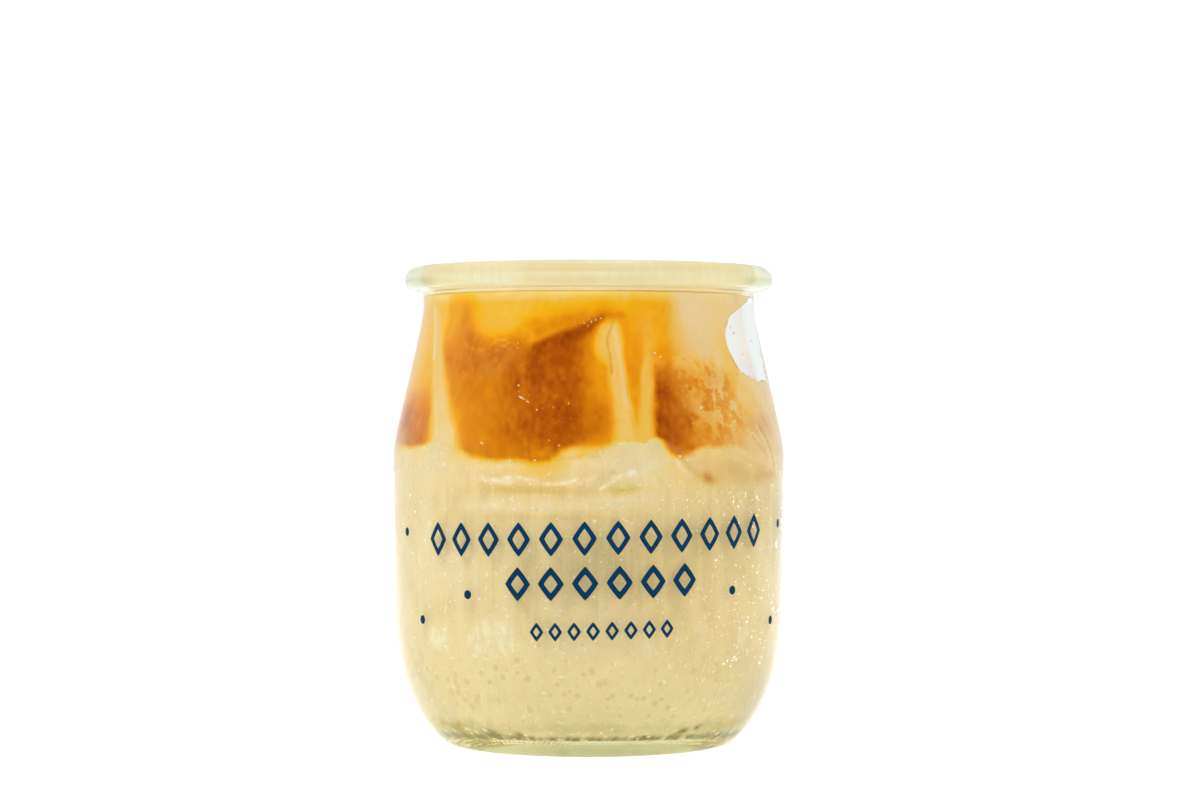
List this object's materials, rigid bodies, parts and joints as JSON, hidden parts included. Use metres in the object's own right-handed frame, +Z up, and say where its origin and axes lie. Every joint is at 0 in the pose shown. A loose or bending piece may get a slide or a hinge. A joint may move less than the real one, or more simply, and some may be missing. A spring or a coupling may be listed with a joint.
{
  "type": "caramel pudding in a glass jar",
  "caption": "Small glass jar with a rolled rim, filled with pale custard under amber caramel that is streaked by custard drawn up the glass, and a soft swirl on top.",
  "frame": {"origin": "centre of the jar's foot, on the surface it stands on", "axes": "+Z up along the jar's axis, front towards -Y, +X to the right as seen from the front"},
  "size_m": [0.0662, 0.0662, 0.08],
  "materials": {
    "jar_glass": "clear, with a faint green tint",
    "custard_cream": "smooth pale custard",
    "caramel_sauce": "glossy amber caramel"
  },
  "bodies": {
    "root": {"jar": "jar_glass", "custard": "custard_cream", "caramel": "caramel_sauce"}
  },
  "joints": []
}
